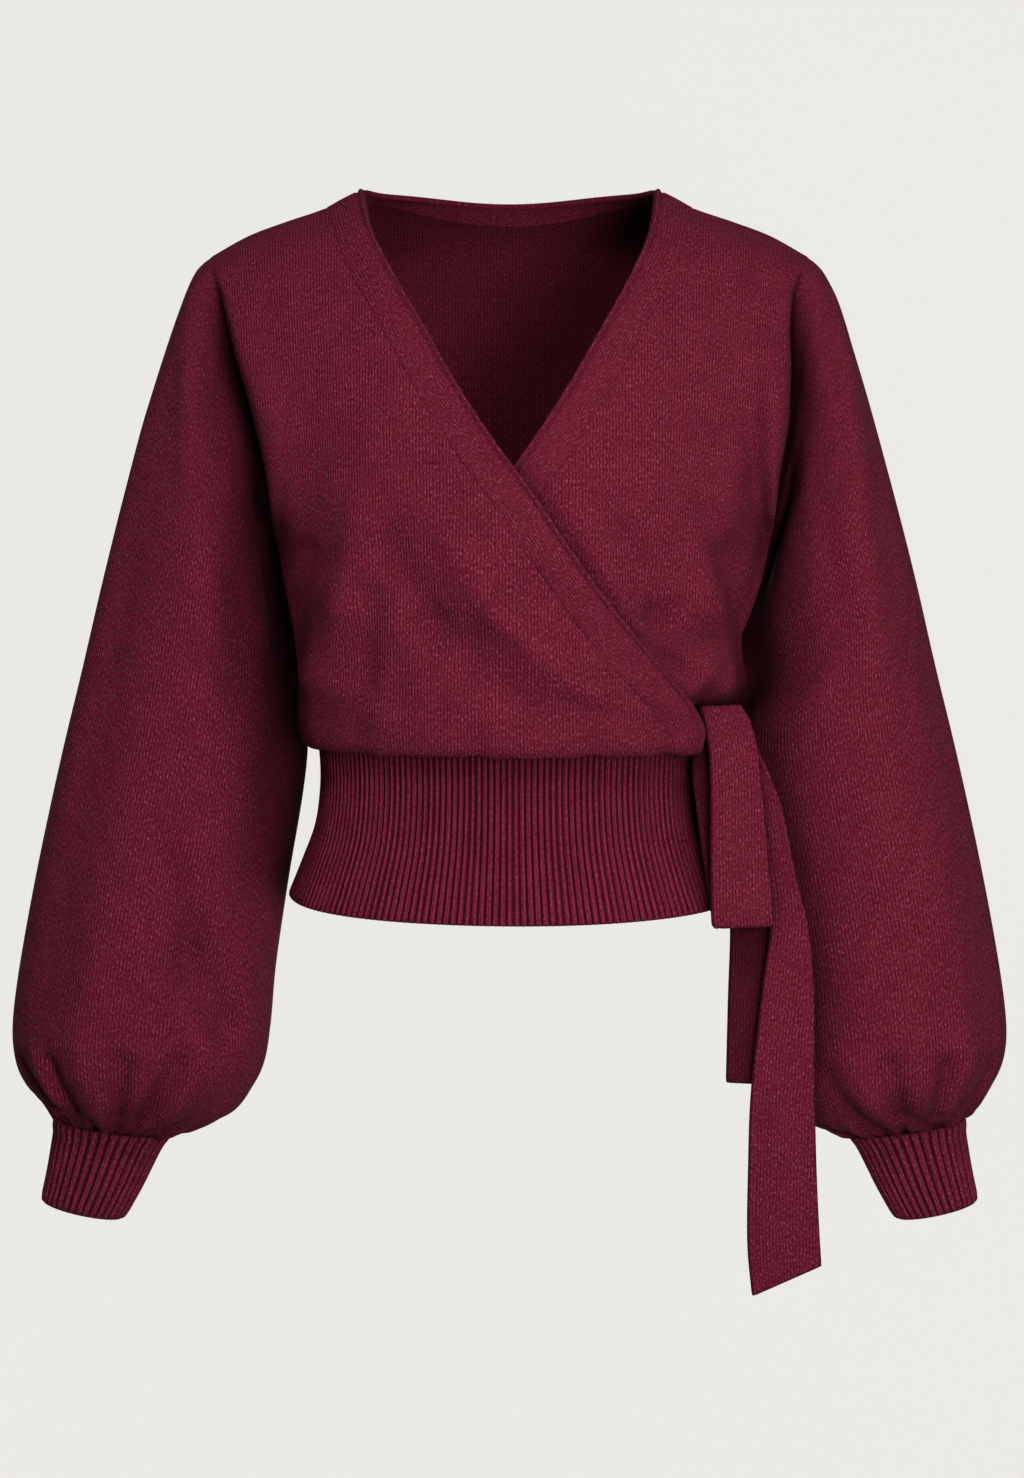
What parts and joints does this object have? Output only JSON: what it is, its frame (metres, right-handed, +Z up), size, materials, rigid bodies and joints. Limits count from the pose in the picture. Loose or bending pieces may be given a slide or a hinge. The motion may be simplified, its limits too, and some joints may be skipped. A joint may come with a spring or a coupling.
{
  "type": "wrap top",
  "caption": "Knitted wrap top with a crossed V neck, bloused bodice, ribbed waist and cuffs, full gathered sleeves and a side tie, filled out with no wearer.",
  "frame": {"origin": "midway between the two points where the shoulder seams meet the neck, where the top rests on a wearer or a form", "axes": "+Z up, the front faces -Y, +X towards the wearer's left, where the tie is"},
  "size_m": [0.6346, 0.2189, 0.6868],
  "materials": {
    "knit": "soft brushed plain knit",
    "rib": "soft brushed rib knit"
  },
  "bodies": {
    "root": {"front_outer": "knit", "front_inner": "knit", "back_panel": "knit", "neck_band": "knit", "sleeve_left": "knit", "sleeve_right": "knit", "tie_loop": "knit", "tie_tail_long": "knit", "tie_tail_short": "knit", "tie_knot": "knit", "waistband_outer": "rib", "waistband_inner": "rib", "waistband_back": "rib", "cuff_left": "rib", "cuff_right": "rib"}
  },
  "joints": []
}
